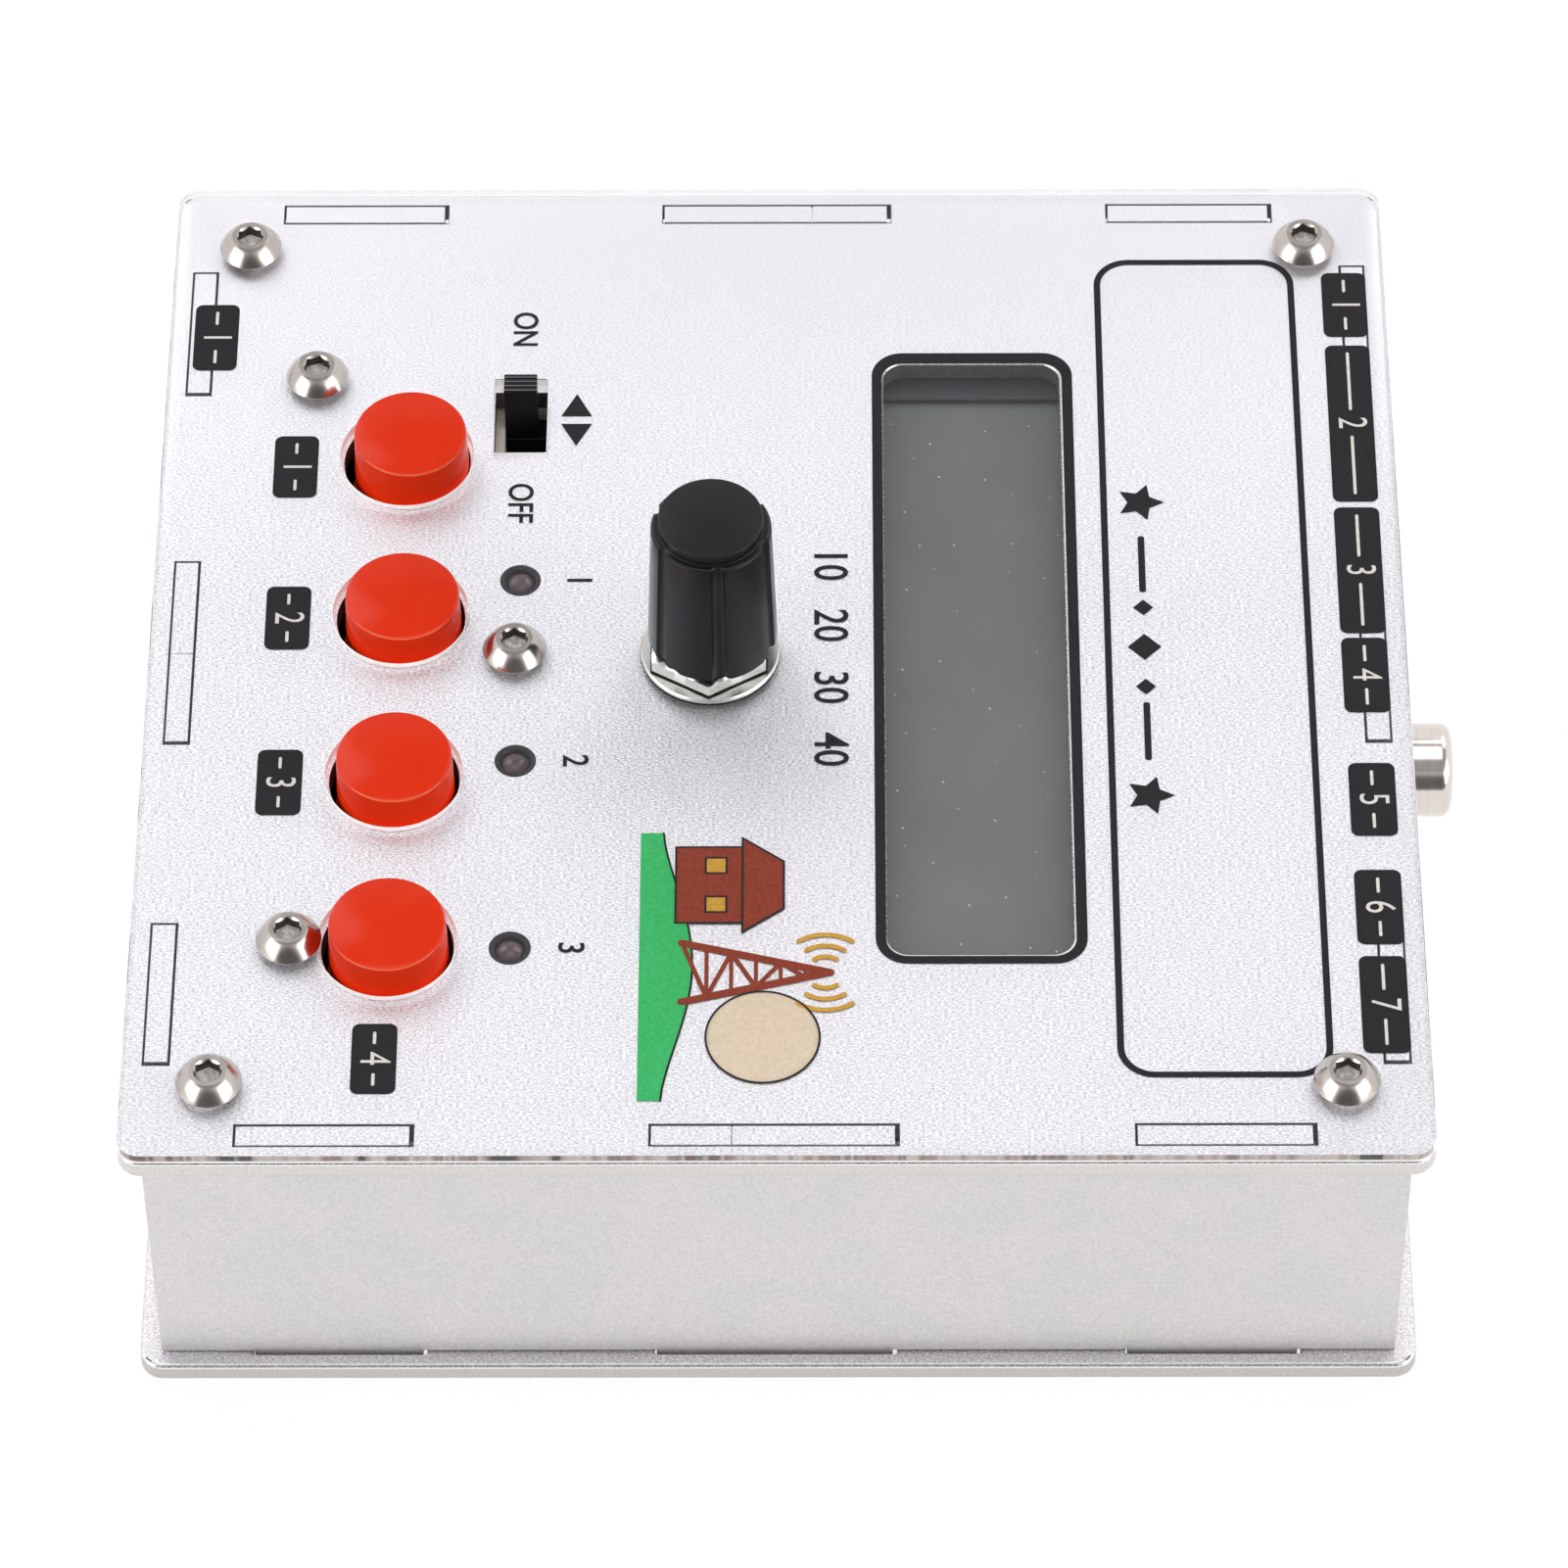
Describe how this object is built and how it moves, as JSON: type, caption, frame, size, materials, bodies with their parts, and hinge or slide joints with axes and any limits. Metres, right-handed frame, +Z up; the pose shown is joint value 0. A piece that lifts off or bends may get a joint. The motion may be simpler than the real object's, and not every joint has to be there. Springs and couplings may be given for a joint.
{
  "type": "morse code keyer",
  "caption": "Square sheet-metal desk box with push buttons, slide switch, turn-and-push control knob, two-line display and a row of sockets on its back wall.",
  "frame": {"origin": "middle of the base plate's underside, on the surface that the keyer stands on", "axes": "+Z up; the user sits at -Y, where the buttons are, and the row of sockets looks out along +Y; +X to the user's right"},
  "size_m": [0.112, 0.1165, 0.0512],
  "materials": {
    "blasted_aluminium": "sandblasted and silver anodised, fine sparkling grain",
    "satin_aluminium": "smooth matt silver",
    "clear_acrylic": "clear cast sheet, printed in black on its underside, laser-polished edges",
    "stainless_steel": "bright, smooth",
    "nickel_plate": "bright nickel plating",
    "brass": "turned",
    "green_board": "glass-epoxy board with green solder mask",
    "red_plastic": "moulded, polished",
    "black_plastic": "moulded",
    "black_steel": "black-coated sheet",
    "display_glass": "grey polariser over glass",
    "white_diffuser": "moulded",
    "smoked_lens": "tinted epoxy"
  },
  "bodies": {
    "case": {"base_plate": "blasted_aluminium", "top_plate": "blasted_aluminium", "cover_sheet": "clear_acrylic", "front_wall": "satin_aluminium", "right_wall": "satin_aluminium", "back_wall": "satin_aluminium", "left_wall": "satin_aluminium", "corner_screw_1": "stainless_steel", "corner_screw_2": "stainless_steel", "corner_screw_3": "stainless_steel", "corner_screw_4": "stainless_steel", "board_screw_1": "stainless_steel", "board_screw_2": "stainless_steel", "board_screw_3": "stainless_steel", "base_screw_1": "stainless_steel", "base_screw_2": "stainless_steel", "base_screw_3": "stainless_steel", "base_screw_4": "stainless_steel", "lower_spacer_1": "brass", "lower_spacer_2": "brass", "lower_spacer_3": "brass", "lower_spacer_4": "brass", "corner_post_1": "brass", "corner_post_2": "brass", "corner_post_3": "brass", "corner_post_4": "brass", "main_board": "green_board", "control_board": "green_board", "display_board": "green_board", "buzzer": "black_plastic", "button_switch_1": "black_plastic", "button_switch_2": "black_plastic", "button_switch_3": "black_plastic", "button_switch_4": "black_plastic", "audio_jack_1": "black_plastic", "audio_jack_2": "black_plastic", "audio_jack_3": "black_plastic", "audio_jack_4": "black_plastic", "display_bezel": "black_steel", "display_glass": "display_glass", "display_backlight": "white_diffuser", "slide_switch_body": "stainless_steel", "encoder_body": "stainless_steel", "encoder_washer": "nickel_plate", "encoder_nut": "nickel_plate", "front_usb_socket": "nickel_plate", "back_usb_socket": "nickel_plate", "usb_host_socket": "nickel_plate", "phono_jack": "nickel_plate", "lamp_1": "smoked_lens", "lamp_2": "smoked_lens", "lamp_3": "smoked_lens"},
    "button_1": {"button_cap_1": "red_plastic"},
    "button_2": {"button_cap_2": "red_plastic"},
    "button_3": {"button_cap_3": "red_plastic"},
    "button_4": {"button_cap_4": "red_plastic"},
    "switch_lever": {"slide_switch_lever": "black_plastic"},
    "encoder_core": {"encoder_rotor": "black_plastic"},
    "knob": {"encoder_shaft": "nickel_plate", "control_knob": "black_plastic"}
  },
  "joints": [
    {"name": "button_1_press", "type": "slide", "parent": "case", "child": "button_1", "axis": [0, 0, 1], "range_m": [-0.00035, 0], "stiffness_N_per_m": 1000, "springref_m": 0.0002},
    {"name": "button_2_press", "type": "slide", "parent": "case", "child": "button_2", "axis": [0, 0, 1], "range_m": [-0.00035, 0], "stiffness_N_per_m": 1000, "springref_m": 0.0002},
    {"name": "button_3_press", "type": "slide", "parent": "case", "child": "button_3", "axis": [0, 0, 1], "range_m": [-0.00035, 0], "stiffness_N_per_m": 1000, "springref_m": 0.0002},
    {"name": "button_4_press", "type": "slide", "parent": "case", "child": "button_4", "axis": [0, 0, 1], "range_m": [-0.00035, 0], "stiffness_N_per_m": 1000, "springref_m": 0.0002},
    {"name": "switch_slide", "type": "slide", "parent": "case", "child": "switch_lever", "axis": [1, 0, 0], "range_m": [0, 0.0042]},
    {"name": "knob_turn", "type": "hinge", "parent": "case", "child": "encoder_core", "pos_m": [0.00039, -0.00609, 0.0265], "axis": [0, 0, 1], "continuous": true},
    {"name": "knob_push", "type": "slide", "parent": "encoder_core", "child": "knob", "axis": [0, 0, 1], "range_m": [-0.0004, 0], "stiffness_N_per_m": 1500, "springref_m": 0.0002}
  ]
}
